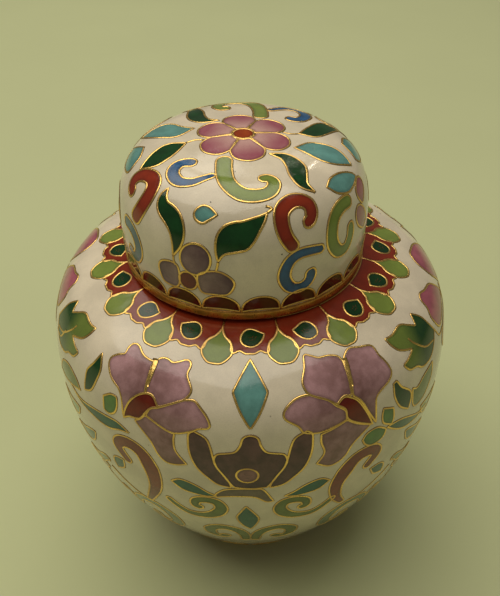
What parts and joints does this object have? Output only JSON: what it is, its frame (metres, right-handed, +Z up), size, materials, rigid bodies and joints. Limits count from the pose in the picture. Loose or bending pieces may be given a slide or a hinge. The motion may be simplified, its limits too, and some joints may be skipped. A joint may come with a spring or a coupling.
{
  "type": "lidded ginger jar",
  "caption": "Small lidded jar of copper with glass enamel in brass wire cells, round bellied body, upright collar and a domed lift-off lid.",
  "frame": {"origin": "middle of the foot's underside", "axes": "+Z up along the jar's axis; the front of the pattern faces -Y"},
  "size_m": [0.0736, 0.0736, 0.0889],
  "materials": {
    "copper": "dull copper sheet",
    "gilt": "gilded brass, worn bright on its edges",
    "white_enamel": "glossy cream-white glass enamel",
    "blue_enamel": "glossy blue counter-enamel",
    "red_enamel": "glossy brick-red glass enamel",
    "light_green_enamel": "glossy light green glass enamel",
    "dark_green_enamel": "glossy dark green glass enamel",
    "turquoise_enamel": "glossy turquoise glass enamel",
    "lavender_enamel": "glossy cloudy lavender glass enamel",
    "pink_enamel": "glossy pink glass enamel"
  },
  "bodies": {
    "jar": {"lower_shell": "copper", "upper_shell": "copper", "foot_ring": "gilt", "base_enamel": "blue_enamel", "jar_lining": "blue_enamel", "neck_collar": "gilt", "mouth_rim": "gilt", "jar_ground": "white_enamel", "shoulder_band": "red_enamel", "shoulder_lobe_01": "light_green_enamel", "shoulder_lobe_02": "light_green_enamel", "shoulder_lobe_03": "light_green_enamel", "shoulder_lobe_04": "light_green_enamel", "shoulder_lobe_05": "light_green_enamel", "shoulder_lobe_06": "light_green_enamel", "shoulder_lobe_07": "light_green_enamel", "shoulder_lobe_08": "light_green_enamel", "shoulder_lobe_09": "light_green_enamel", "shoulder_lobe_10": "light_green_enamel", "shoulder_lobe_11": "light_green_enamel", "shoulder_lobe_12": "light_green_enamel", "shoulder_lobe_13": "light_green_enamel", "shoulder_lobe_14": "light_green_enamel", "shoulder_lobe_15": "light_green_enamel", "shoulder_lobe_16": "light_green_enamel", "front_upper_kite": "turquoise_enamel", "front_lower_kite": "turquoise_enamel", "front_lotus_middle": "lavender_enamel", "front_lotus_left": "lavender_enamel", "front_lotus_right": "lavender_enamel", "front_left_outer_petal": "lavender_enamel", "front_left_inner_petal": "lavender_enamel", "front_left_lower_petal": "lavender_enamel", "front_right_outer_petal": "lavender_enamel", "front_right_inner_petal": "lavender_enamel", "front_right_lower_petal": "lavender_enamel", "back_upper_kite": "turquoise_enamel", "back_lower_kite": "turquoise_enamel", "back_lotus_middle": "lavender_enamel", "back_lotus_left": "lavender_enamel", "back_lotus_right": "lavender_enamel", "back_left_outer_petal": "lavender_enamel", "back_left_inner_petal": "lavender_enamel", "back_left_lower_petal": "lavender_enamel", "back_right_outer_petal": "lavender_enamel", "back_right_inner_petal": "lavender_enamel", "back_right_lower_petal": "lavender_enamel"},
    "lid": {"lid_shell": "copper", "lid_rim": "gilt", "lid_lining": "blue_enamel", "lid_ground": "white_enamel", "lid_petal_1": "pink_enamel", "lid_petal_2": "pink_enamel", "lid_petal_3": "pink_enamel", "lid_petal_4": "pink_enamel", "lid_petal_5": "pink_enamel", "lid_petal_6": "pink_enamel", "lid_kite_1": "turquoise_enamel", "lid_kite_2": "turquoise_enamel"}
  },
  "joints": [
    {"name": "lid_lift", "type": "slide", "parent": "jar", "child": "lid", "axis": [0, 0, 1], "range_m": [0, 0.04]}
  ]
}
